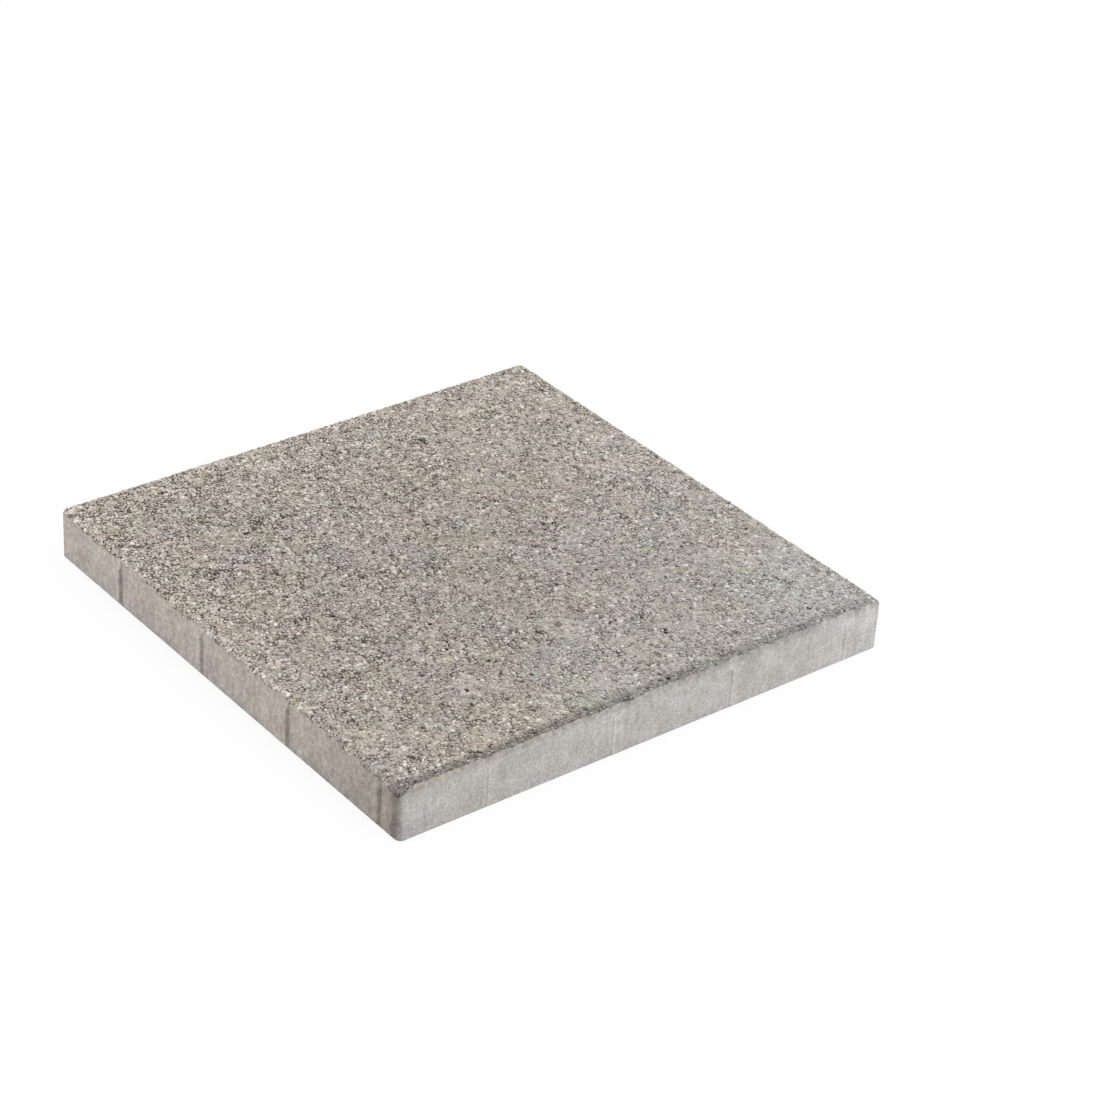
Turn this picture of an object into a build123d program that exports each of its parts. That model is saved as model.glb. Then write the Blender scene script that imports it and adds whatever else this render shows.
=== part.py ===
# A square concrete paving slab, cast in one piece: a washed top, smooth moulded sides and
# spacing nibs that keep the joint open when slabs are laid side by side.
# All lengths are in millimetres. The slab lies on its underside, with +Z up and the origin
# at the middle of the underside.

import os

from build123d import *

# Slab body
slab_side = 396.0            # from one smooth side face to the opposite one
slab_thickness = 38.0        # from the underside to the washed top
corner_radius = 5.0          # the four upright corners
top_edge_radius = 4.0        # the upper edge, washed round
foot_bevel = 1.0             # the lower edge, broken when the mould comes off

# Spacing nibs, the same on all four sides, each side turned a quarter from the last
nibs_per_side = 4
nib_start_share = 0.05       # from the corner to the first nib, as a share of the side
nib_pitch_share = 0.25       # from one nib to the next, as a share of the side
nib_width = 14.0             # along the side, at the nib's root
nib_reach = 2.0              # how far the nib stands out of the side
nib_flank = 0.6              # each flank leans in by this much, so that the mould lets go
nib_foot = 3.0               # from the underside to the nib's lower end
nib_head = 33.0              # from the underside to the upper end of the nib's root
nib_shoulder = 4.0           # height of the slope that closes the nib's upper end
nib_root = 3.0               # how deep the nib is bedded in the slab

half_side = slab_side / 2
half_nib = nib_width / 2
nib_front = half_side + nib_reach
nib_back = half_side - nib_root

# The slab body: a square with rounded corners, its upper edge rounded and its lower edge bevelled
slab = extrude(RectangleRounded(slab_side, slab_side, corner_radius), amount=slab_thickness)
slab = fillet(slab.edges().group_by(Axis.Z)[-1], radius=top_edge_radius)
slab = chamfer(slab.edges().group_by(Axis.Z)[0], length=foot_bevel)

# One nib in the middle of the front side: its plan gives the leaning flanks,
# and its side view gives the sloping shoulder at the upper end
nib_plan = Polygon(
    (-half_nib, -nib_back),
    (-half_nib, -half_side),
    (-half_nib + nib_flank, -nib_front),
    (half_nib - nib_flank, -nib_front),
    (half_nib, -half_side),
    (half_nib, -nib_back),
    align=None,
)
nib_side_view = Polygon(
    (-nib_back, nib_foot),
    (-nib_front, nib_foot),
    (-nib_front, nib_head - nib_shoulder),
    (-half_side, nib_head),
    (-nib_back, nib_head),
    align=None,
)
nib = extrude(nib_plan, amount=slab_thickness) & extrude(
    Plane.YZ * nib_side_view, amount=half_nib, both=True
)

# Each side has its nibs set off from the corner on its right-hand end
nibs = []
for quarter in range(4):
    for place in range(nibs_per_side):
        share = nib_start_share + place * nib_pitch_share
        nib_middle = half_side - share * slab_side - half_nib
        nibs.append(Rot(Z=quarter * 90) * (Pos(X=nib_middle) * nib))
slab = slab + nibs

os.makedirs("parts", exist_ok=True)
export_step(slab, "parts/slab.step")
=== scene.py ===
import math

import bpy
import numpy as np
from mathutils import Matrix, Vector


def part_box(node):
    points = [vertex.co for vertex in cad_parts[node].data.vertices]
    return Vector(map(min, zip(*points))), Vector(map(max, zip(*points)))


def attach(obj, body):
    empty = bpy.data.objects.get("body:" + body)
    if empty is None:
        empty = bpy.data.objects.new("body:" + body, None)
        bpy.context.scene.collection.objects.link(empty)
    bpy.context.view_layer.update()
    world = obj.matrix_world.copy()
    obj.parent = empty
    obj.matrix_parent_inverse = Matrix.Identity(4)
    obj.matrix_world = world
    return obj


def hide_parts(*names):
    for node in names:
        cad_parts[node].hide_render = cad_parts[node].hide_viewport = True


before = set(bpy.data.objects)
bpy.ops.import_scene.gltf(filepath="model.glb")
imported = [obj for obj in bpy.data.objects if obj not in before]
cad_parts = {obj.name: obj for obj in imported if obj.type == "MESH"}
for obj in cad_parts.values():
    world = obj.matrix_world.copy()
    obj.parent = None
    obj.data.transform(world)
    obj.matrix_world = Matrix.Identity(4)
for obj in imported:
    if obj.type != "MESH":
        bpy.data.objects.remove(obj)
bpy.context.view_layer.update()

# The slab: one square block of concrete, cast and pressed in a steel mould and washed on top while
# still green. Its sides keep the smooth cement skin of the mould, with spacing nibs, and its top and
# upper edge are a rough mortar bed that carries the exposed stones.
MM = 0.001
NIB_REACH = 2.0
slab_low, slab_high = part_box("slab")
SLAB_SIDE = (slab_high[0] - slab_low[0]) / MM - 2 * NIB_REACH
SLAB_THICKNESS = (slab_high[2] - slab_low[2]) / MM
CORNER_RADIUS = 5.0
TOP_EDGE_RADIUS = 4.0
FOOT_BEVEL = 1.0
NIB_SHARES = (0.05, 0.30, 0.55, 0.80)
NIB_WIDTH = 14.0
NIB_FLANK = 0.6
NIB_FOOT = 3.0
NIB_HEAD = 33.0
NIB_SHOULDER = 4.0

BED_CELLS = 256
BED_MARGIN = 1.5
CORNER_STEPS = 5
EDGE_STEPS = 6
half_side = SLAB_SIDE / 2
bed_half = half_side - TOP_EDGE_RADIUS - BED_MARGIN
arc_centre = half_side - CORNER_RADIUS

# The columns of the top run on down the sides, so two of them are moved to each flank of a nib
columns = np.linspace(-bed_half, bed_half, BED_CELLS + 1)
nib_ends = half_side - np.array(NIB_SHARES) * SLAB_SIDE
for root, inward in [(end, -1) for end in nib_ends] + [(end - NIB_WIDTH, 1) for end in nib_ends]:
    for turn in (1, -1):
        nearest = int(np.argmin(np.abs(columns - turn * root)))
        columns[nearest] = turn * root
        columns[nearest + turn * inward] = turn * (root + inward * NIB_FLANK)

# Rings round the slab from the underside up: how far in from the side face, and how high
FOOT_RING = 2.0
NIB_FOOT_STEP = 0.05
NIB_BODY_START = 6.0
NIB_BODY_RINGS = 13
SHOULDER_RINGS = 5
shoulder_foot = NIB_HEAD - NIB_SHOULDER
side_heights = [FOOT_RING, NIB_FOOT - NIB_FOOT_STEP, NIB_FOOT + NIB_FOOT_STEP]
side_heights += list(np.linspace(NIB_BODY_START, shoulder_foot, NIB_BODY_RINGS))
side_heights += list(np.linspace(shoulder_foot, NIB_HEAD, SHOULDER_RINGS))[1:]
rings = [(FOOT_BEVEL, 0.0), (0.0, FOOT_BEVEL)] + [(0.0, level) for level in side_heights]
for angle in np.linspace(0, math.pi / 2, EDGE_STEPS + 1):
    inset = TOP_EDGE_RADIUS * (1 - math.cos(angle))
    rings.append((inset, SLAB_THICKNESS - TOP_EDGE_RADIUS * (1 - math.sin(angle))))


def ring_round_slab(inset):
    """One ring: places, outward directions and the place along the side, starting at the front side."""
    rows = []
    reach = half_side - inset
    radius = CORNER_RADIUS - inset
    quarter = np.eye(2)
    for side in range(4):
        for along in columns:
            rows.append((*(quarter @ (along, -reach)), *(quarter @ (0, -1)), along))
        for step in range(1, CORNER_STEPS + 1):
            angle = math.pi / 2 * (step / (CORNER_STEPS + 1) - 1)
            out = np.array([math.cos(angle), math.sin(angle)])
            place = np.array([arc_centre, -arc_centre]) + radius * out
            rows.append((*(quarter @ place), *(quarter @ out), half_side))
        quarter = np.array([[0, -1], [1, 0]]) @ quarter
    return np.array(rows)


ring_rows = [ring_round_slab(inset) for inset, _ in rings]
ring_size = len(ring_rows[0])
ring_total = len(rings) * ring_size
bed_x, bed_y = np.meshgrid(columns, columns, indexing="ij")
bed_size = bed_x.size
flat_x = np.concatenate([rows[:, 0] for rows in ring_rows] + [bed_x.ravel()])
flat_y = np.concatenate([rows[:, 1] for rows in ring_rows] + [bed_y.ravel()])
height = np.concatenate([np.full(ring_size, h) for _, h in rings] + [np.full(bed_size, SLAB_THICKNESS)])
outward = np.vstack([rows[:, 2:4] for rows in ring_rows] + [np.zeros((bed_size, 2))])
along_side = np.concatenate([rows[:, 4] for rows in ring_rows] + [np.full(bed_size, half_side)])
moulded = np.column_stack([flat_x, flat_y, height])
edge_foot = SLAB_THICKNESS - TOP_EDGE_RADIUS
edge_rise = np.clip((height - edge_foot) / TOP_EDGE_RADIUS, 0, 1)
edge_rise[ring_total:] = 1.0
normals = np.column_stack([outward * np.sqrt(1 - edge_rise**2)[:, None], edge_rise])
facing = np.maximum(0, np.column_stack([-outward[:, 1], outward[:, 0], outward[:, 1], -outward[:, 0]]))**2
LUMP_CELLS = 32


def fade(none, full, value):
    """0 where a value is at none or beyond it, 1 at full, and smooth between."""
    share = np.clip((value - none) / (full - none), 0, 1)
    return share * share * (3 - 2 * share)


def lumpy(*layers):
    """Smooth noise over the slab, the sum of layers of lumps: their strength, width in mm and seed."""
    total = np.zeros(len(moulded))
    for strength, width, seed in layers:
        table = np.random.default_rng(seed).uniform(-strength, strength, (LUMP_CELLS,) * 3)
        spots = moulded / width + (LUMP_CELLS + 1) / 2
        cell = np.floor(spots).astype(int)
        part = fade(0, 1, spots - cell)
        for corner in np.ndindex(2, 2, 2):
            weight = np.prod(np.where(corner, part, 1 - part), axis=1)
            at = (cell + corner) % LUMP_CELLS
            total += weight * table[at[:, 0], at[:, 1], at[:, 2]]
    return total


def by_side(front, right, back, left):
    """A value for each of the four sides, blended round the corners, and 0 on the bed."""
    return sum(share * value for share, value in zip(facing.T, (front, right, back, left)))


# How far the wash reached over the upper edge, in mm on each side: 1 on the stone bed, 0 on the cement
# skin, with a ragged line between that lies lower at the two right-hand corners
WASH_REACH = (5.8, 1.4, 3.4, 5.2)
WASH_BAYS = (1.7, 0.3, 0.7, 1.3)
BAY_LUMPS = ((0.9, 34.0, 11), (1.5, 8.0, 12))
WASH_NICKS = (1.9, 0.8, 1.2, 1.5)
NICK_LUMPS = (1.0, 3.0, 13)
CORNER_WASH = 2.0
CORNER_WASH_FADE = (14.0, 3.0)
WASH_LINE_FADE = (-0.6, 0.6)
from_left = half_side + flat_x
from_right = half_side - flat_x
from_front = half_side + flat_y
from_back = half_side - flat_y
side_x, side_y = flat_x / half_side, flat_y / half_side
edge_run = TOP_EDGE_RADIUS * np.arccos(edge_rise) + np.maximum(0, edge_foot - height)
corner_gap = np.hypot(from_right, np.minimum(from_front, from_back))
wash_reach = by_side(*WASH_REACH) + CORNER_WASH * fade(*CORNER_WASH_FADE, corner_gap)
wash_reach += by_side(*WASH_BAYS) * lumpy(*BAY_LUMPS) + by_side(*WASH_NICKS) * lumpy(NICK_LUMPS)
washed = fade(*WASH_LINE_FADE, wash_reach - edge_run)
washed[ring_total:] = 1.0

# Pits where a stone or an air bubble has come out of the bed, and the room they keep clear of stones
PIT_COUNT = 150
PIT_SMALLEST = 0.8
PIT_LARGEST = 1.5
PIT_DEPTH = 2.2
PIT_SPREAD_SHARE = 1.6
PIT_CLEARANCE = 0.6
PIT_SEED = 7
chance = np.random.default_rng(PIT_SEED)
pit = np.zeros(len(moulded))
pit_clear = np.zeros(len(moulded))
pit_centres = chance.integers(ring_total, len(moulded), PIT_COUNT)
for centre, radius in zip(pit_centres, chance.uniform(PIT_SMALLEST, PIT_LARGEST, PIT_COUNT)):
    gap = np.hypot(flat_x - flat_x[centre], flat_y - flat_y[centre])[ring_total:]
    pit[ring_total:] = np.maximum(pit[ring_total:], 1 - gap / (PIT_SPREAD_SHARE * radius))
    pit_clear[ring_total:] = np.maximum(pit_clear[ring_total:], gap < radius + PIT_CLEARANCE)

# The washed bed lies below the stones, with crevices where the mortar was washed out deeper, the skin
# is not quite flat, and the worn nibs stand out of it
BED_DEPTH = 0.85
BED_LUMPS = ((0.4, 2.4, 21), (0.35, 12.0, 24))
CREVICE_DEPTH = 0.8
CREVICE_LUMPS = ((1.0, 2.9, 25), (0.3, 8.0, 26))
CREVICE_FADE = (0.55, 0.80)
SKIN_LUMPS = ((0.12, 40.0, 22), (0.05, 8.0, 23))
NIB_WEAR = 0.12
NIB_WEAR_LUMPS = (NIB_WEAR, 9.0, 3)
crevice = washed * fade(*CREVICE_FADE, lumpy(*CREVICE_LUMPS))
sink = washed * BED_DEPTH * (1 + lumpy(*BED_LUMPS)) + CREVICE_DEPTH * crevice + PIT_DEPTH * pit
swell = (1 - washed) * lumpy(*SKIN_LUMPS)
nib_upright = np.minimum((height - NIB_FOOT) / NIB_FOOT_STEP, (NIB_HEAD - height) / NIB_SHOULDER)
nib_rise = np.zeros(len(moulded))
for end in nib_ends:
    nib_across = np.minimum(end - along_side, along_side - end + NIB_WIDTH) / NIB_FLANK
    nib_rise = np.maximum(nib_rise, np.clip(np.minimum(nib_across, nib_upright), 0, 1))
nib_rise *= NIB_REACH * (1 - NIB_WEAR + lumpy(NIB_WEAR_LUMPS))
places = moulded + normals * ((swell - sink) * (height > 0))[:, None]
places[:, :2] += outward * nib_rise[:, None]

# How far the mortar fills the gaps: more towards the right and the back, and in patches
FILL_LEVEL = -0.008
FILL_TO_RIGHT = 0.04
FILL_TO_BACK = 0.03
FILL_LUMPS = (0.07, 13.0, 42)
mortar_fill = FILL_LEVEL + FILL_TO_RIGHT * side_x + FILL_TO_BACK * side_y + lumpy(FILL_LUMPS)

# The hue of the concrete, as what its colour is multiplied by: warm at the front and left, with rosy,
# mossy, bluish and sandy clouds, greyer towards the right and the back, bluish where it is damp, and
# darker and bluer low on the sides towards the foot
WARM_TINT = np.array([1.008, 0.987, 0.985])
GREY_TINT = (-0.07, 0.03, 0.12)
GREY_TO_RIGHT = 0.33
GREY_TO_BACK = 0.38
GREY_LUMPS = (0.2, 60.0, 31)
GREY_FADE = (0.0, 0.85)
GREY_PATCH = 0.15
GREY_PATCH_X = 135.0
GREY_PATCH_Y = 75.0
GREY_PATCH_FADE = (75.0, 20.0)
GREY_SIDES = (-0.1, 0.6, 0.4, 0.0)
GREY_FRONT_LEFT = 0.12
GREY_FRONT_LEFT_FADE = (0.7, 0.1)
GREY_RIGHT_END = 0.35
GREY_RIGHT_END_FADE = (0.5, 1.0)
ROSY_TINT = (0.022, -0.016, -0.004)
ROSY_LUMPS = ((0.7, 32.0, 32), (0.6, 13.0, 40), (0.5, 6.0, 47))
ROSY_SIDES_SHARE = 0.7
BLUE_TINT = (-0.006, 0.0, 0.034)
BLUE_LUMPS = ((0.7, 24.0, 49), (0.7, 9.0, 50))
MOSSY_TINT = (-0.03, 0.005, -0.02)
MOSSY_LUMPS = ((1.0, 15.0, 45), (0.3, 6.0, 46))
MOSSY_FADE = (0.2, 0.7)
WARM_LOST_TO_GREY = 0.8
DAMP_TINT = (-0.13, -0.10, -0.02)
DAMP_PATCHES = ((-10, -35, 20, 0.8), (-52, -80, 15, 0.8), (-75, -128, 24, 0.5), (-122, -132, 12, 0.5),
                (142, -52, 13, 0.7), (25, 150, 18, 0.4))
DAMP_LUMPS = ((0.45, 7.0, 35), (0.3, 18.0, 44))
DAMP_FADE = (1.2, 0.2)
FOOT_TINT = (-0.10, -0.06, 0.03)
FOOT_SIDES = (1.0, 0.5, 0.5, 1.0)
FOOT_FADE = (11.0, 0.0)
grey_slope = GREY_TO_RIGHT * side_x + GREY_TO_BACK * side_y + lumpy(GREY_LUMPS)
grey_gap = np.hypot(flat_x - GREY_PATCH_X, flat_y - GREY_PATCH_Y)
grey_top = fade(*GREY_FADE, grey_slope) + GREY_PATCH * fade(*GREY_PATCH_FADE, grey_gap)
grey_sides = by_side(*GREY_SIDES) + by_side(GREY_FRONT_LEFT * fade(*GREY_FRONT_LEFT_FADE, side_x),
                                            GREY_RIGHT_END * fade(*GREY_RIGHT_END_FADE, side_y), 0, 0)
grey = edge_rise * grey_top + (1 - edge_rise) * grey_sides
warm = 1 - WARM_LOST_TO_GREY * grey
rosy = warm * lumpy(*ROSY_LUMPS) * (ROSY_SIDES_SHARE + (1 - ROSY_SIDES_SHARE) * edge_rise)
mossy = warm * fade(*MOSSY_FADE, lumpy(*MOSSY_LUMPS))
damp = np.zeros(len(moulded))
damp_edge = lumpy(*DAMP_LUMPS)
for x, y, radius, strength in DAMP_PATCHES:
    damp_gap = np.hypot(flat_x - x, flat_y - y) / radius + damp_edge
    damp = np.maximum(damp, strength * fade(*DAMP_FADE, damp_gap))
damp[:ring_total] = 0
# Darker and bluer low on the sides, towards the foot
foot_tint_share = fade(*FOOT_FADE, height) * by_side(*FOOT_SIDES)
hue = WARM_TINT + np.outer(grey, GREY_TINT) + np.outer(rosy, ROSY_TINT) + np.outer(mossy, MOSSY_TINT)
hue += np.outer(lumpy(*BLUE_LUMPS), BLUE_TINT)
hue *= (1 + np.outer(damp, DAMP_TINT)) * (1 + np.outer(foot_tint_share, FOOT_TINT))

# How light it is: cloudy, paler to the left and the back and along the front and left rims, dirtier
# round the middle and at the corners, and finely mottled on the front and left sides. Painted light and
# shade make each side a little lighter or darker, the front side darker towards the front corner, and the
# right side lighter towards its far end
LIGHT_TO_RIGHT = -0.04
LIGHT_TO_BACK = 0.025
LIGHT_LUMPS = ((0.03, 48.0, 33), (0.04, 17.0, 34), (0.05, 6.5, 39))
LIGHT_LUMPS_SIDES_SHARE = 0.5
RIM_LIGHT = 0.10
RIM_LIGHT_FADE = (45.0, 5.0)
FRONT_RIM_LIGHT_END = (0.9, 0.2)
LEFT_RIM_LIGHT_END = (0.6, -0.2)
MIDDLE_DIRT = 0.12
MIDDLE_DIRT_X = 0.2
MIDDLE_DIRT_Y = 0.15
MIDDLE_SPREAD = 0.4
PAINTED_LIGHT_SIDES = (-0.01, 0.005, 0.0, -0.02)
MOTTLE_SIDES = (0.24, 0.06, 0.10, 0.22)
MOTTLE_LUMPS = (1.0, 2.5, 48)
FRONT_CORNER_SHADE = 0.22
FRONT_CORNER_FADE = (0.4, 1.0)
RIGHT_END_PAINTED_LIGHT = 0.14
RIGHT_END_FADE = (0.6, 1.0)
CORNER_DIRT = 0.12
CORNER_DIRT_LUMPS = (0.5, 6.0, 37)
cloudy = lumpy(*LIGHT_LUMPS) * (LIGHT_LUMPS_SIDES_SHARE + (1 - LIGHT_LUMPS_SIDES_SHARE) * edge_rise)
light = 1 + LIGHT_TO_RIGHT * side_x + LIGHT_TO_BACK * side_y + cloudy
rim = fade(*RIM_LIGHT_FADE, from_front) * fade(*FRONT_RIM_LIGHT_END, side_x)
rim += fade(*RIM_LIGHT_FADE, from_left) * fade(*LEFT_RIM_LIGHT_END, side_y)
from_middle = (side_x - MIDDLE_DIRT_X)**2 + (side_y - MIDDLE_DIRT_Y)**2
light += edge_rise * (RIM_LIGHT * rim - MIDDLE_DIRT * np.exp(-from_middle / MIDDLE_SPREAD))
# Painted light and shade: each side a little lighter or darker as the light falls on it
light *= 1 + by_side(*PAINTED_LIGHT_SIDES)
light *= 1 + by_side(*MOTTLE_SIDES) * lumpy(MOTTLE_LUMPS)
# Painted shade on the front side towards the front corner, painted light on the right side towards its far
# end
light *= 1 - by_side(FRONT_CORNER_SHADE * fade(*FRONT_CORNER_FADE, side_x), 0, 0, 0)
light *= 1 + by_side(0, RIGHT_END_PAINTED_LIGHT * fade(*RIGHT_END_FADE, side_y), 0, 0)
corner_share = (2 * np.abs(outward[:, 0] * outward[:, 1]))**2
light *= 1 - CORNER_DIRT * corner_share * (1 + lumpy(CORNER_DIRT_LUMPS))

# Along the upper edge: a dark band on the right of the bed, the skin darker just under the lip, a crumbled
# dark line of painted shadow where the skin ends, a faint band behind a paler front rim, and a dark streak
# down the front corner
RIGHT_BAND = 0.35
RIGHT_BAND_TO_BACK = -0.06
RIGHT_BAND_LUMPS = (0.12, 14.0, 36)
RIGHT_BAND_FADE = (12.5, 7.5)
UNDER_LIP = (0.0, 0.26, 0.14, 0.0)
UNDER_LIP_LUMPS = (1.0, 2.4, 43)
UNDER_LIP_FADE = (8.0, 3.0)
LIP_SHADOW_LINE = (0.24, 0.42, 0.14, 0.2)
HALFWAY_PRODUCT = 0.25
FRONT_BAND = 0.04
FRONT_BAND_FADE = (15.0, 8.0)
FRONT_BAND_END = (4.0, 7.0)
FRONT_RIM = 0.10
FRONT_RIM_FADE = (5.0, 3.0)
STREAK = 0.40
STREAK_INSET = 5.5
STREAK_LUMPS = (0.14, 6.0, 41)
STREAK_FADE = (6.0, 1.0)
skin = 1 - washed
right_band = RIGHT_BAND + RIGHT_BAND_TO_BACK * side_y + lumpy(RIGHT_BAND_LUMPS)
light *= 1 - np.clip(right_band, 0, 1) * washed * fade(*RIGHT_BAND_FADE, from_right)
light *= 1 - by_side(*UNDER_LIP) * skin * fade(*UNDER_LIP_FADE, edge_run) * (1 + lumpy(UNDER_LIP_LUMPS))
# Painted shadow along the crumbled line where the skin ends
light *= 1 - by_side(*LIP_SHADOW_LINE) * washed * skin / HALFWAY_PRODUCT
light *= 1 - FRONT_BAND * fade(*FRONT_BAND_FADE, from_front) * fade(*FRONT_BAND_END, from_front)
light *= 1 + FRONT_RIM * washed * fade(*FRONT_RIM_FADE, from_front)
streak_gap = np.hypot(from_right - STREAK_INSET, from_front)
light *= 1 - (STREAK + lumpy(STREAK_LUMPS)) * skin * fade(*STREAK_FADE, streak_gap)

# Painted light and shade on the nibs: a painted shadow along one flank, most on the front and left,
# painted light on the other flank on the right and back that cancels its shade, and by the shaded flank
# an arris that is a painted highlight on the front and left and darker on the right and back
FLANK_SHADOW = (0.30, 0.03, 0.05, 0.28)
FLANK_SHADOW_LUMPS = (0.3, 11.0, 38)
FLANK_LIGHT = (0.0, 0.23, 0.1, 0.0)
FLANK_MARK_WIDTH = 1.7
FLANK_MARK_FADE = (35.0, 33.0)
ARRIS = (0.11, -0.10, -0.04, 0.11)
ARRIS_INSET = 3.0
ARRIS_WIDTH = 2.6


def nib_line(inset, width):
    """1 on an upright line that is inset from each nib's end, falling to 0 on both sides over a width."""
    gaps = [np.abs(along_side - end + inset) for end in nib_ends]
    return np.clip(1 - np.min(gaps, axis=0) / width, 0, 1)


# Painted shadow along one flank of each nib, less painted light on the other flank
flank_light_and_shade = by_side(*FLANK_SHADOW) * nib_line(0.0, FLANK_MARK_WIDTH) * (1 + lumpy(FLANK_SHADOW_LUMPS))
flank_light_and_shade -= by_side(*FLANK_LIGHT) * nib_line(NIB_WIDTH, FLANK_MARK_WIDTH)
light *= 1 - flank_light_and_shade * fade(*FLANK_MARK_FADE, height)
# The arris beside the shaded flank: a painted highlight on the front and left, darker on the right and back
light *= 1 + by_side(*ARRIS) * nib_line(ARRIS_INSET, ARRIS_WIDTH)

# All stains and painted light and shade together, with an even one for the hidden underside
UNDERSIDE_STAIN = (0.90, 0.92, 0.95, 1.0)
stain_and_painted_light = np.column_stack([light[:, None] * hue, np.ones(len(moulded))])
stain_and_painted_light[:ring_size] = UNDERSIDE_STAIN

# Faces: the side rings, the strip from the last ring to the bed, the bed and the underside, each with
# its part of the slab: 0 to 3 for the sides, then the top and the underside
TOP_PART, UNDERSIDE_PART = 4, 5
side_size = ring_size // 4
last_ring = len(rings) - 1
faces = []
face_part = []


def ring_vertex(ring, place):
    """The number of the vertex at a place round a ring."""
    return ring * ring_size + place % ring_size


def bed_vertex(column, row):
    """The number of the vertex in a column and row of the bed."""
    return ring_total + column * (BED_CELLS + 1) + row


for ring in range(last_ring):
    on_side = rings[ring + 1][0] == 0
    for place in range(ring_size):
        faces.append((ring_vertex(ring, place), ring_vertex(ring, place + 1),
                      ring_vertex(ring + 1, place + 1), ring_vertex(ring + 1, place)))
        face_part.append(place // side_size if on_side else TOP_PART)
cells = range(BED_CELLS + 1)
bed_edges = (
    [bed_vertex(cell, 0) for cell in cells],
    [bed_vertex(BED_CELLS, cell) for cell in cells],
    [bed_vertex(BED_CELLS - cell, BED_CELLS) for cell in cells],
    [bed_vertex(0, BED_CELLS - cell) for cell in cells],
)
for side, edge in enumerate(bed_edges):
    start = side * side_size
    for cell in range(BED_CELLS):
        faces.append((ring_vertex(last_ring, start + cell), ring_vertex(last_ring, start + cell + 1),
                      edge[cell + 1], edge[cell]))
    for place in range(start + BED_CELLS, start + BED_CELLS + CORNER_STEPS + 1):
        faces.append((ring_vertex(last_ring, place), ring_vertex(last_ring, place + 1), edge[-1]))
for column in range(BED_CELLS):
    for row in range(BED_CELLS):
        faces.append((bed_vertex(column, row), bed_vertex(column + 1, row),
                      bed_vertex(column + 1, row + 1), bed_vertex(column, row + 1)))
face_part += [TOP_PART] * (len(faces) - len(face_part))
faces.append(tuple(range(ring_size - 1, -1, -1)))
face_part.append(UNDERSIDE_PART)
CREVICE_SHADE = 0.45


def concrete_mesh(name, points):
    """A mesh of the slab's faces through points in mm, with the slab's marks on its vertices."""
    mesh = bpy.data.meshes.new(name)
    mesh.from_pydata((points * MM).tolist(), [], faces)
    # Painted shade in the hollows: full in the pits, part of it in the crevices
    dark = np.maximum(pit, CREVICE_SHADE * crevice)
    for mark, values in (("washed", washed), ("pit", dark), ("fill", mortar_fill)):
        mesh.attributes.new(mark, "FLOAT", "POINT").data.foreach_set("value", values.astype(np.float32))
    stain_and_light_mark = mesh.attributes.new("stain_and_painted_light", "FLOAT_COLOR", "POINT")
    stain_and_light_mark.data.foreach_set("color", stain_and_painted_light.astype(np.float32).ravel())
    return mesh


SHARP_ANGLE = math.radians(40)
slab_mesh = concrete_mesh("washed_slab", places)
slab_mesh.polygons.foreach_set("use_smooth", np.ones(len(faces), bool))
slab_mesh.set_sharp_from_angle(angle=SHARP_ANGLE)

# The map for its baked colours: the top as seen from above, the four sides as strips, the underside small
TOP_SHARE = 0.78
STRIP_SHARE = 0.08
GAP_SHARE = 0.01
corner_vertex = np.empty(len(slab_mesh.loops), np.int32)
slab_mesh.loops.foreach_get("vertex_index", corner_vertex)
part_of = np.repeat(face_part, [len(face) for face in faces])
plan_u = flat_x[corner_vertex] / SLAB_SIDE + 0.5
plan_v = flat_y[corner_vertex] / SLAB_SIDE + 0.5
rise = height[corner_vertex] / SLAB_THICKNESS
strips_end = 2 * (STRIP_SHARE + GAP_SHARE)
top_u_end = TOP_SHARE + 2 * GAP_SHARE
top_v_start = strips_end + 2 * GAP_SHARE
bake_u = GAP_SHARE + TOP_SHARE * plan_u
bake_v = top_v_start + TOP_SHARE * plan_v
for side, lengthwise in enumerate((plan_u, plan_v, 1 - plan_u, 1 - plan_v)):
    here = part_of == side
    strip = GAP_SHARE + (side % 2) * (STRIP_SHARE + GAP_SHARE) + STRIP_SHARE * rise[here]
    if side < 2:
        bake_u[here] = GAP_SHARE + TOP_SHARE * lengthwise[here]
        bake_v[here] = strip
    else:
        bake_u[here] = top_u_end + strip
        bake_v[here] = top_v_start + TOP_SHARE * lengthwise[here]
under = part_of == UNDERSIDE_PART
bake_u[under] = top_u_end + GAP_SHARE + (strips_end - GAP_SHARE) * plan_u[under]
bake_v[under] = GAP_SHARE + (strips_end - GAP_SHARE) * plan_v[under]
bake_map = slab_mesh.uv_layers.new(name="OFBake")
bake_map.uv.foreach_set("vector", np.column_stack([bake_u, bake_v]).astype(np.float32).ravel())


def linear(code):
    """A colour written as sRGB hex, as linear red, green, blue and alpha."""
    parts = [int(code[i:i + 2], 16) / 255 for i in (1, 3, 5)]
    return [x / 12.92 if x <= 0.04045 else ((x + 0.055) / 1.055) ** 2.4 for x in parts] + [1.0]


def add_node(tree, kind, inputs=None, **settings):
    """Adds a node with its settings. Each input is given a value, or is linked to a socket or to the
    first live output of a node."""
    node = tree.nodes.new(kind)
    for name, value in settings.items():
        setattr(node, name, value)
    for key, value in (inputs or {}).items():
        if isinstance(value, bpy.types.Node):
            value = next(socket for socket in value.outputs if socket.enabled)
        if isinstance(value, bpy.types.NodeSocket):
            tree.links.new(value, node.inputs[key])
        else:
            node.inputs[key].default_value = value
    return node


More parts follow.
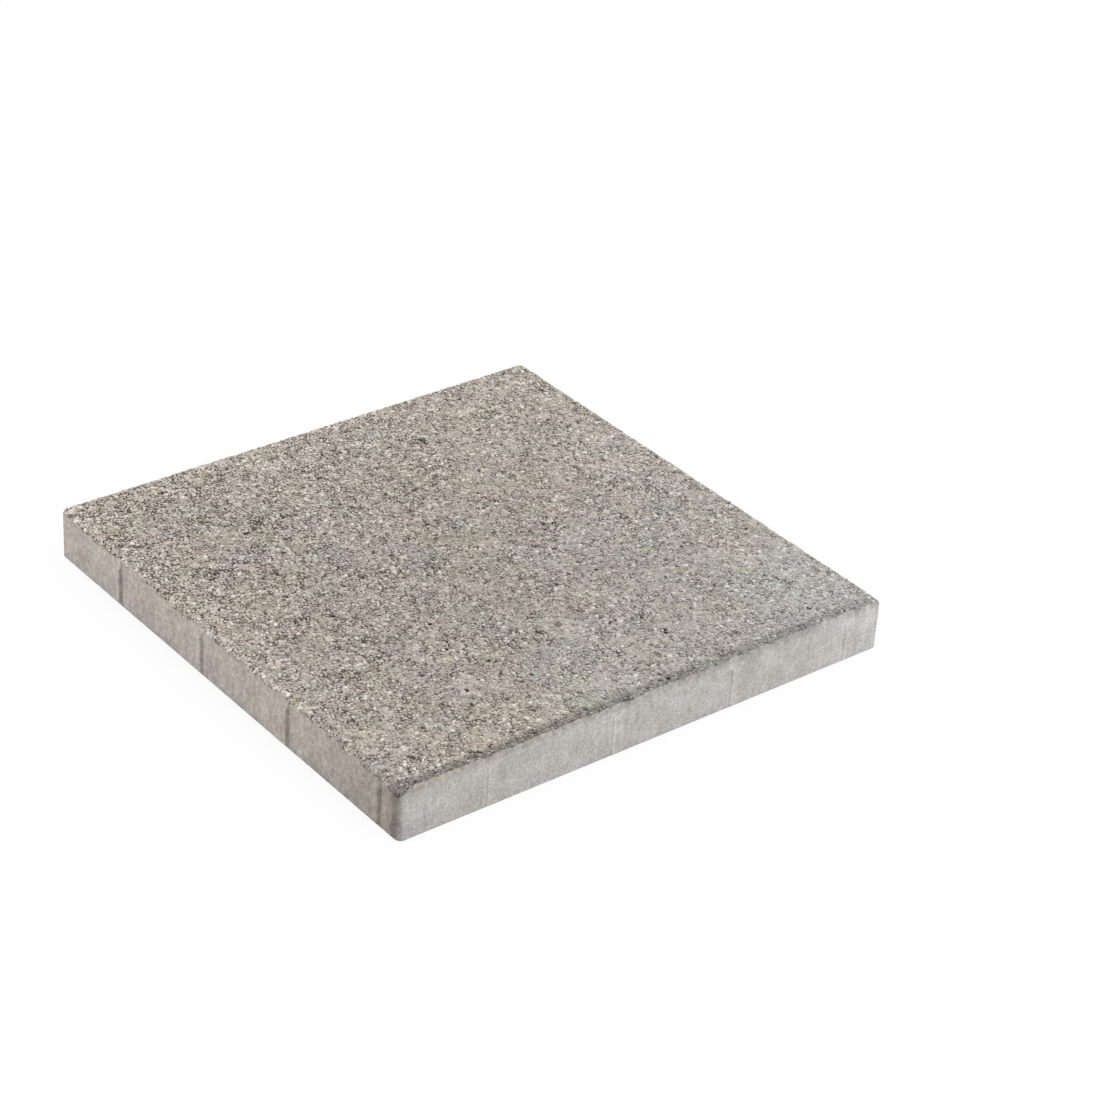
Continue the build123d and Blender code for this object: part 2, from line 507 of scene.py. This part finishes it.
# Washed and moulded concrete: between the stones a dull sandy mortar with painted shade in its hollows,
# nearly black in its pits and darker in its crevices; on the sides a matt cement skin, smoother, cloudy and
# finely speckled, with faint drag lines and pores painted dark as shade.
SAND_GRAIN = 1.0
SAND_RELIEF = 0.4
SAND_STRENGTH = 0.4
GAP_WIDTH = 2.4
CLOUD_WIDTH = 15.0
DRAG_WIDTH = 3.0
DRAG_STRETCH = 0.14
SPECKLE_WIDTH = 1.3
PORE_SPACING = 6.0
PORE_RIM_SHARE = 0.09
PORE_CORE_SHARE = 0.04
NOISE_ROUGHNESS = 0.6
SKIN_SHARES = (("clouds", 0.25), ("drag", 0.19), ("speckle", 0.56))
HOLE_START, HOLE_FULL = 0.25, 0.5
RAGGED_SHARE = 0.6
BARE_START, BARE_FULL = 0.62, 0.98
CONCRETE_ROUGHNESS = 0.88
CONCRETE_SPECULAR = 0.25
# The mortar's dark end is partly its own colour and partly painted shade in the gaps between the stones
MORTAR_COLOURS = ((0.40, "#554c44"), (0.56, "#bab2a7"))
SKIN_COLOURS = ((0.36, "#9e968e"), (0.64, "#d0c9c0"))
PIT_SHADE_COLOUR = "#1f1c19"
PORE_SHADE_COLOUR = "#6e675f"
slab_material = bpy.data.materials.new("washed_and_moulded_concrete")
slab_material.use_nodes = True
tree = slab_material.node_tree
tree.nodes.clear()
marks = {name: add_node(tree, "ShaderNodeAttribute", attribute_name=name).outputs
         for name in ("washed", "pit", "fill", "stain_and_painted_light")}
place = add_node(tree, "ShaderNodeTexCoord").outputs["Object"]
drag_place = add_node(tree, "ShaderNodeMapping", {"Vector": place, "Scale": (1.0, 1.0, DRAG_STRETCH)})
noises = {}
for name, where, width, detail in (("sand", place, SAND_GRAIN, 3.0), ("gaps", place, GAP_WIDTH, 4.0),
                                   ("clouds", place, CLOUD_WIDTH, 5.0), ("drag", drag_place, DRAG_WIDTH, 3.0),
                                   ("speckle", place, SPECKLE_WIDTH, 2.0)):
    noises[name] = add_node(tree, "ShaderNodeTexNoise", {"Vector": where, "Scale": 1 / (width * MM),
                                                         "Detail": detail, "Roughness": NOISE_ROUGHNESS})
filled = add_node(tree, "ShaderNodeMath", {0: noises["gaps"], 1: marks["fill"]["Fac"]})
skin_tone = 0.0
for name, share in SKIN_SHARES:
    skin_tone = add_node(tree, "ShaderNodeMath", {0: noises[name], 1: share, 2: skin_tone},
                         operation="MULTIPLY_ADD")
colours = {}
for name, tone, stops in (("mortar", filled, MORTAR_COLOURS), ("skin", skin_tone, SKIN_COLOURS)):
    colours[name] = add_node(tree, "ShaderNodeValToRGB", {"Fac": tone})
    for element, (position, code) in zip(colours[name].color_ramp.elements, stops):
        element.position = position
        element.color = linear(code)
# Painted shade in pits and crevices, nearly black
hollow_shade = add_node(tree, "ShaderNodeMapRange", {"Value": marks["pit"]["Fac"], "From Min": HOLE_START,
                                             "From Max": HOLE_FULL})
mortar_colour = add_node(tree, "ShaderNodeMix", {"Factor": hollow_shade, "A": colours["mortar"],
                                                 "B": linear(PIT_SHADE_COLOUR)}, data_type="RGBA")
# Pores: small spots of painted shade where the skin has tiny holes
pore_gap = add_node(tree, "ShaderNodeTexVoronoi", {"Vector": place, "Scale": 1 / (PORE_SPACING * MM)})
pore_shade = add_node(tree, "ShaderNodeMapRange", {"Value": pore_gap, "From Min": PORE_RIM_SHARE,
                                             "From Max": PORE_CORE_SHARE})
skin_colour = add_node(tree, "ShaderNodeMix", {"Factor": pore_shade, "A": colours["skin"],
                                               "B": linear(PORE_SHADE_COLOUR)}, data_type="RGBA")
ragged = add_node(tree, "ShaderNodeMath", {0: noises["speckle"], 1: RAGGED_SHARE, 2: marks["washed"]["Fac"]},
                  operation="MULTIPLY_ADD")
bared = add_node(tree, "ShaderNodeMapRange", {"Value": ragged, "From Min": BARE_START, "From Max": BARE_FULL})
bare_colour = add_node(tree, "ShaderNodeMix", {"Factor": bared, "A": skin_colour, "B": mortar_colour},
                       data_type="RGBA")
concrete = add_node(tree, "ShaderNodeMix", {"Factor": 1.0, "A": bare_colour, "B": marks["stain_and_painted_light"]["Color"]},
                    data_type="RGBA", blend_type="MULTIPLY")
grit = add_node(tree, "ShaderNodeBump", {"Height": noises["sand"], "Strength": SAND_STRENGTH,
                                         "Distance": SAND_RELIEF * MM})
bsdf = add_node(tree, "ShaderNodeBsdfPrincipled", {"Base Color": concrete, "Normal": grit,
                                                   "Roughness": CONCRETE_ROUGHNESS,
                                                   "Specular IOR Level": CONCRETE_SPECULAR})
add_node(tree, "ShaderNodeOutputMaterial", {"Surface": bsdf})

slab = bpy.data.objects.new("washed_slab", slab_mesh)
bpy.context.scene.collection.objects.link(slab)
slab_mesh.materials.append(slab_material)
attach(slab, "root")
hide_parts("slab")

# The exposed stones: fine washed gravel of mixed kinds, pressed level in the mould and laid bare by
# the wash. Each stone is a small lump of its own, sunk in the mortar up to its shoulders.
STONE_SPACING = 2.2
STONE_SMALLEST = 0.95
STONE_LARGEST = 2.3
STONE_KNOCK = 0.28
STONE_LOWEST = 0.42
STONE_DENSITY = 1.4e6
STONE_SEED = 5
STONE_FLAT_SHARE = 0.8
STONE_SHAPE_LEAST = (0.85, 0.72, 0.60)
STONE_SHAPE_MOST = (1.25, 1.0, 0.9)
STONE_TILT = 0.2
STONE_TURN_LEAST = (-STONE_TILT, -STONE_TILT, 0)
STONE_TURN_MOST = (STONE_TILT, STONE_TILT, math.tau)
KNOCK_SHARES = Vector((1.0, 1.0, 0.5))
SMALL_STONES = 1.6
SHALLOW_STONES = 2.0
COVER_START = 2 / 7
CREVICE_CLEAR_FADE = (0.1, 0.5)
BAKE_CELLS = 98.0
BAKE_FILL_SHARE = 0.84

# The seat carries the marks that the stones take up, and where there is room for a stone
seat_mesh = concrete_mesh("stone_seat", moulded)
stone_cover = np.clip((washed - COVER_START) / (1 - COVER_START), 0, 1)
stone_cover *= 1 - np.maximum(pit_clear, fade(*CREVICE_CLEAR_FADE, crevice))
cover_mark = seat_mesh.attributes.new("stone_cover", "FLOAT", "POINT")
cover_mark.data.foreach_set("value", stone_cover.astype(np.float32))

stones_tree = bpy.data.node_groups.new("exposed_stones", "GeometryNodeTree")
socket_kinds = {"Seat": "NodeSocketGeometry", "Stone": "NodeSocketMaterial"}
sizes = {}
for name in ("Seat", "Spacing", "Smallest", "Largest", "Knock", "Lowest", "First share", "Last share",
             "Stone"):
    sizes[name] = stones_tree.interface.new_socket(
        name, in_out="INPUT", socket_type=socket_kinds.get(name, "NodeSocketFloat"))
stones_tree.interface.new_socket("Stones", in_out="OUTPUT", socket_type="NodeSocketGeometry")
given = add_node(stones_tree, "NodeGroupInput").outputs
marks = {}
for name, kind in (("stone_cover", "FLOAT"), ("number", "FLOAT"), ("OFBake", "FLOAT_VECTOR")):
    marks[name] = add_node(stones_tree, "GeometryNodeInputNamedAttribute", {"Name": name}, data_type=kind)

# What chance gives each stone, and each point of it when it is knocked
index = add_node(stones_tree, "GeometryNodeInputIndex")
drawn = {}
for name, seed in (("kind", 11), ("tone", 23), ("size", 31), ("dip", 43)):
    drawn[name] = add_node(stones_tree, "FunctionNodeRandomValue", {"Min": 0.0, "Max": 1.0, "Seed": seed},
                           data_type="FLOAT")
for name, seed, least, most in (("shape", 37, STONE_SHAPE_LEAST, STONE_SHAPE_MOST),
                                ("spin", 41, STONE_TURN_LEAST, STONE_TURN_MOST)):
    drawn[name] = add_node(stones_tree, "FunctionNodeRandomValue", {"Min": least, "Max": most, "Seed": seed},
                           data_type="FLOAT_VECTOR")
drawn["knock"] = add_node(stones_tree, "FunctionNodeRandomValue",
                          {"Min": -KNOCK_SHARES, "Max": KNOCK_SHARES, "ID": index, "Seed": 53},
                          data_type="FLOAT_VECTOR")

# Places, sizes and turns of the stones, each sunk until its flat top is at the mould's face or a little
# below it, and those of the kind that is wanted
spots = add_node(stones_tree, "GeometryNodeDistributePointsOnFaces",
                 {"Mesh": given["Seat"], "Distance Min": given["Spacing"], "Density Max": STONE_DENSITY,
                  "Density Factor": marks["stone_cover"], "Seed": STONE_SEED}, distribute_method="POISSON")
size_share = add_node(stones_tree, "ShaderNodeMath", {0: drawn["size"], 1: SMALL_STONES}, operation="POWER")
radius = add_node(stones_tree, "ShaderNodeMapRange", {"Value": size_share, "To Min": given["Smallest"],
                                                      "To Max": given["Largest"]})
stone_size = add_node(stones_tree, "ShaderNodeVectorMath", {"Vector": drawn["shape"], "Scale": radius},
                      operation="SCALE")
tall = add_node(stones_tree, "ShaderNodeSeparateXYZ", {"Vector": stone_size}).outputs["Z"]
dip_share = add_node(stones_tree, "ShaderNodeMath", {0: drawn["dip"], 1: SHALLOW_STONES}, operation="POWER")
dip = add_node(stones_tree, "ShaderNodeMath", {0: dip_share, 1: given["Lowest"]}, operation="MULTIPLY")
depth = add_node(stones_tree, "ShaderNodeMath", {0: tall, 1: STONE_FLAT_SHARE, 2: dip},
                 operation="MULTIPLY_ADD")
sinking = add_node(stones_tree, "ShaderNodeMath", {0: depth, 1: -1.0}, operation="MULTIPLY")
down = add_node(stones_tree, "ShaderNodeVectorMath", {"Vector": spots.outputs["Normal"], "Scale": sinking},
                operation="SCALE")
sunk = add_node(stones_tree, "GeometryNodeSetPosition", {"Geometry": spots, "Offset": down})
spin = add_node(stones_tree, "FunctionNodeEulerToRotation", {"Euler": drawn["spin"]})
turn = add_node(stones_tree, "FunctionNodeRotateRotation",
                {"Rotation": spots.outputs["Rotation"], "Rotate By": spin}, rotation_space="LOCAL")
toned = add_node(stones_tree, "GeometryNodeStoreNamedAttribute",
                 {"Geometry": sunk, "Name": "tone", "Value": drawn["tone"]})
after = add_node(stones_tree, "FunctionNodeCompare", {"A": drawn["kind"], "B": given["First share"]},
                 data_type="FLOAT", operation="GREATER_EQUAL")
before = add_node(stones_tree, "FunctionNodeCompare", {"A": drawn["kind"], "B": given["Last share"]},
                  data_type="FLOAT", operation="LESS_THAN")
of_kind = add_node(stones_tree, "FunctionNodeBooleanMath", {0: after, 1: before}, operation="AND")
sorted_out = add_node(stones_tree, "GeometryNodeSeparateGeometry", {"Geometry": toned, "Selection": of_kind})
numbered = add_node(stones_tree, "GeometryNodeStoreNamedAttribute",
                    {"Geometry": sorted_out, "Name": "number", "Value": index})

# One stone: a twenty-sided lump with its top pressed flat, and its faces left flat as on broken stone
lump = add_node(stones_tree, "GeometryNodeMeshIcoSphere", {"Radius": 1.0, "Subdivisions": 1}).outputs
mapped = add_node(stones_tree, "GeometryNodeStoreNamedAttribute",
                  {"Geometry": lump["Mesh"], "Name": "OFBake", "Value": lump["UV Map"]},
                  data_type="FLOAT2", domain="CORNER")
lump_place = add_node(stones_tree, "GeometryNodeInputPosition")
across = add_node(stones_tree, "ShaderNodeSeparateXYZ", {"Vector": lump_place}).outputs
lifted = add_node(stones_tree, "GeometryNodeStoreNamedAttribute",
                  {"Geometry": mapped, "Name": "lift", "Value": across["Z"]})
flat_top = add_node(stones_tree, "ShaderNodeMath", {0: across["Z"], 1: STONE_FLAT_SHARE}, operation="MINIMUM")
pressed_place = add_node(stones_tree, "ShaderNodeCombineXYZ", {"X": across["X"], "Y": across["Y"],
                                                               "Z": flat_top})
pressed = add_node(stones_tree, "GeometryNodeSetPosition", {"Geometry": lifted, "Position": pressed_place})

# Every stone set in its place, knocked out of shape, and given its own cell of the bake map
laid = add_node(stones_tree, "GeometryNodeInstanceOnPoints", {"Points": numbered, "Instance": pressed,
                                                             "Rotation": turn, "Scale": stone_size})
real = add_node(stones_tree, "GeometryNodeRealizeInstances", {"Geometry": laid})
knock = add_node(stones_tree, "ShaderNodeVectorMath", {"Vector": drawn["knock"], "Scale": given["Knock"]},
                 operation="SCALE")
knocked = add_node(stones_tree, "GeometryNodeSetPosition", {"Geometry": real, "Offset": knock})
cell_column = add_node(stones_tree, "ShaderNodeMath", {0: marks["number"], 1: BAKE_CELLS},
                       operation="FLOORED_MODULO")
cell_count = add_node(stones_tree, "ShaderNodeMath", {0: marks["number"], 1: BAKE_CELLS}, operation="DIVIDE")
cell_row = add_node(stones_tree, "ShaderNodeMath", {0: cell_count}, operation="FLOOR")
in_cell = add_node(stones_tree, "ShaderNodeSeparateXYZ", {"Vector": marks["OFBake"]}).outputs
in_map = {}
for axis, cell in (("X", cell_column), ("Y", cell_row)):
    cell_place = add_node(stones_tree, "ShaderNodeMath", {0: in_cell[axis], 1: BAKE_FILL_SHARE, 2: cell},
                          operation="MULTIPLY_ADD")
    in_map[axis] = add_node(stones_tree, "ShaderNodeMath", {0: cell_place, 1: BAKE_CELLS}, operation="DIVIDE")
map_place = add_node(stones_tree, "ShaderNodeCombineXYZ", in_map)
laid_out = add_node(stones_tree, "GeometryNodeStoreNamedAttribute",
                    {"Geometry": knocked, "Name": "OFBake", "Value": map_place},
                    data_type="FLOAT2", domain="CORNER")
dressed = add_node(stones_tree, "GeometryNodeSetMaterial", {"Geometry": laid_out, "Material": given["Stone"]})
add_node(stones_tree, "NodeGroupOutput", {0: dressed})
# Painted shade and clinging mortar on the stones, darker the lower down a point lies on its stone
SHOULDER_LIFT = -0.45
SHOULDER_SHADE = 0.45
STONE_SPECULAR = 0.3


def washed_stone(name, dark, pale, roughness):
    """Washed gravel of one kind: dull stone between two colours, with painted shade and clinging mortar low
    down.
    """
    material = bpy.data.materials.new(name)
    material.use_nodes = True
    tree = material.node_tree
    tree.nodes.clear()
    marks = {mark: add_node(tree, "ShaderNodeAttribute", attribute_name=mark).outputs
             for mark in ("tone", "lift", "stain_and_painted_light")}
    own = add_node(tree, "ShaderNodeMix", {"Factor": marks["tone"]["Fac"], "A": linear(dark),
                                           "B": linear(pale)}, data_type="RGBA")
    low = add_node(tree, "ShaderNodeMapRange", {"Value": marks["lift"]["Fac"], "From Min": SHOULDER_LIFT,
                                                "From Max": 1.0, "To Min": SHOULDER_SHADE, "To Max": 1.0})
    low_shaded = add_node(tree, "ShaderNodeMix", {"Factor": 1.0, "A": own, "B": low},
                     data_type="RGBA", blend_type="MULTIPLY")
    stained_and_shaded = add_node(tree, "ShaderNodeMix", {"Factor": 1.0, "A": low_shaded, "B": marks["stain_and_painted_light"]["Color"]},
                       data_type="RGBA", blend_type="MULTIPLY")
    bsdf = add_node(tree, "ShaderNodeBsdfPrincipled", {"Base Color": stained_and_shaded, "Roughness": roughness,
                                                       "Specular IOR Level": STONE_SPECULAR})
    add_node(tree, "ShaderNodeOutputMaterial", {"Surface": bsdf})
    return material


# Quartz gives bright glints, limestone and sandstone the warm pale ground, greywacke the grey between
# them and basalt the few dark grains, each with its share of the stones
stone_kinds = (
    ("quartz_stones", 0.10, washed_stone("washed_quartz", "#d0cac1", "#eae6de", 0.5)),
    ("limestone_stones", 0.30, washed_stone("washed_limestone", "#bdb7ad", "#d9d2c9", 0.8)),
    ("sandstone_stones", 0.30, washed_stone("washed_sandstone", "#b4aca1", "#cec6bc", 0.85)),
    ("greywacke_stones", 0.24, washed_stone("washed_greywacke", "#a8a29a", "#c2bcb5", 0.8)),
    ("basalt_stones", 0.06, washed_stone("washed_basalt", "#837d76", "#a39d96", 0.75)),
)
first_share = 0.0
for name, share, stone_material in stone_kinds:
    stones = bpy.data.objects.new(name, seat_mesh)
    bpy.context.scene.collection.objects.link(stones)
    growth = stones.modifiers.new("exposed_stones", "NODES")
    growth.node_group = stones_tree
    for key, value in (("Spacing", STONE_SPACING * MM), ("Smallest", STONE_SMALLEST * MM),
                       ("Largest", STONE_LARGEST * MM), ("Knock", STONE_KNOCK * MM),
                       ("Lowest", STONE_LOWEST * MM), ("First share", first_share),
                       ("Last share", first_share + share), ("Stone", stone_material)):
        growth[sizes[key].identifier] = value
    finished = stones.evaluated_get(bpy.context.evaluated_depsgraph_get())
    stone_mesh = bpy.data.meshes.new_from_object(finished)
    stones.modifiers.remove(growth)
    stones.data = stone_mesh
    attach(stones, "root")
    first_share += share
bpy.data.meshes.remove(seat_mesh)

# The floor: a plain pale studio floor of white paper, laid flat under the slab. It fades into a white
# background and keeps a soft shadow near the slab.
FLOOR_HALF = 6.0
SHADOW_NEAR = 0.2
SHADOW_FAR = 0.42
WHITE_NEAR_SHARE = 0.9
PAPER_COLOUR = "#f0f0f0"
BACKDROP_COLOUR = "#ffffff"
floor_corners = [(x * FLOOR_HALF, y * FLOOR_HALF, 0) for x, y in ((-1, -1), (1, -1), (1, 1), (-1, 1))]
floor_mesh = bpy.data.meshes.new("floor")
floor_mesh.from_pydata(floor_corners, [], [(0, 1, 2, 3)])
floor = bpy.data.objects.new("floor", floor_mesh)
bpy.context.scene.collection.objects.link(floor)


def shown_to_eye(tree):
    """1 for what the camera sees, straight or in a reflection or through glass, and 0 for light."""
    path = add_node(tree, "ShaderNodeLightPath").outputs
    seen = add_node(tree, "ShaderNodeMath", {0: path["Is Camera Ray"], 1: path["Is Glossy Ray"]},
                    operation="MAXIMUM")
    return add_node(tree, "ShaderNodeMath", {0: seen, 1: path["Is Transmission Ray"]}, operation="MAXIMUM")


# White paper: a dull even white, shown as pure white away from the slab
floor_material = bpy.data.materials.new("white_paper_floor")
floor_material.use_nodes = True
tree = floor_material.node_tree
tree.nodes.clear()
paper = add_node(tree, "ShaderNodeBsdfDiffuse", {"Color": linear(PAPER_COLOUR)})
white = add_node(tree, "ShaderNodeEmission", {"Color": linear(BACKDROP_COLOUR), "Strength": 1.0})
place = add_node(tree, "ShaderNodeTexCoord").outputs["Object"]
distance = add_node(tree, "ShaderNodeVectorMath", {"Vector": place}, operation="LENGTH").outputs["Value"]
whiteness = add_node(tree, "ShaderNodeMapRange", {"Value": distance, "From Min": SHADOW_NEAR,
                                                  "From Max": SHADOW_FAR, "To Min": WHITE_NEAR_SHARE,
                                                  "To Max": 1.0}, interpolation_type="SMOOTHSTEP")
glow = add_node(tree, "ShaderNodeMath", {0: shown_to_eye(tree), 1: whiteness}, operation="MULTIPLY")
mixed = add_node(tree, "ShaderNodeMixShader", {0: glow, 1: paper, 2: white})
add_node(tree, "ShaderNodeOutputMaterial", {"Surface": mixed})
floor_mesh.materials.append(floor_material)

# Soft studio light: an even white surround, and one large soft lamp that hangs high on the right
# and is turned towards the slab.
SURROUND_COLOUR = "#ffffff"
SURROUND_LEVEL = 0.93
LAMP_POWER = 12.0
LAMP_WIDTH = 1.2
LAMP_PLACE = Vector((1.02, 0.37, 1.68))
world = bpy.data.worlds.new("white_studio")
world.use_nodes = True
bpy.context.scene.world = world
tree = world.node_tree
tree.nodes.clear()
surround = add_node(tree, "ShaderNodeBackground", {"Color": linear(SURROUND_COLOUR),
                                                   "Strength": SURROUND_LEVEL})
backdrop = add_node(tree, "ShaderNodeBackground", {"Color": linear(BACKDROP_COLOUR), "Strength": 1.0})
mixed = add_node(tree, "ShaderNodeMixShader", {0: shown_to_eye(tree), 1: surround, 2: backdrop})
add_node(tree, "ShaderNodeOutputWorld", {"Surface": mixed})
lamp_data = bpy.data.lights.new("soft_lamp", "AREA")
lamp_data.shape = "SQUARE"
lamp_data.size = LAMP_WIDTH
lamp_data.energy = LAMP_POWER
lamp = bpy.data.objects.new("soft_lamp", lamp_data)
lamp.location = LAMP_PLACE
lamp.rotation_euler = (-LAMP_PLACE).to_track_quat("-Z", "Y").to_euler()
bpy.context.scene.collection.objects.link(lamp)

# The camera: it looks down on the slab from beyond its front right corner, as the photograph does,
# a little rolled, with the slab left of the middle of the picture.
FOCAL_PIXELS = 3134.0
PICTURE_PIXELS = 1120
SENSOR_WIDTH = 36.0
VIEW_AZIMUTH = math.radians(49.778)
VIEW_PITCH = math.radians(31.503)
VIEW_ROLL = math.radians(-3.895)
VIEW_DISTANCE = 2182.4 * MM
VIEW_AIM = Vector((-6.5, 87.16, 0.0)) * MM
ahead = Vector((-math.sin(VIEW_AZIMUTH), math.cos(VIEW_AZIMUTH), 0.0))
level = Vector((math.cos(VIEW_AZIMUTH), math.sin(VIEW_AZIMUTH), 0.0))
back = Vector((0.0, 0.0, math.sin(VIEW_PITCH))) - ahead * math.cos(VIEW_PITCH)
upright = back.cross(level)
right = level * math.cos(VIEW_ROLL) - upright * math.sin(VIEW_ROLL)
up = level * math.sin(VIEW_ROLL) + upright * math.cos(VIEW_ROLL)
camera_data = bpy.data.cameras.new("camera")
camera_data.sensor_width = SENSOR_WIDTH
camera_data.lens = FOCAL_PIXELS / PICTURE_PIXELS * SENSOR_WIDTH
camera = bpy.data.objects.new("camera", camera_data)
camera.matrix_world = (Matrix.Translation(VIEW_AIM + back * VIEW_DISTANCE)
                       @ Matrix((right, up, back)).transposed().to_4x4())
bpy.context.scene.collection.objects.link(camera)
bpy.context.scene.camera = camera
bpy.context.scene.view_settings.view_transform = "Standard"
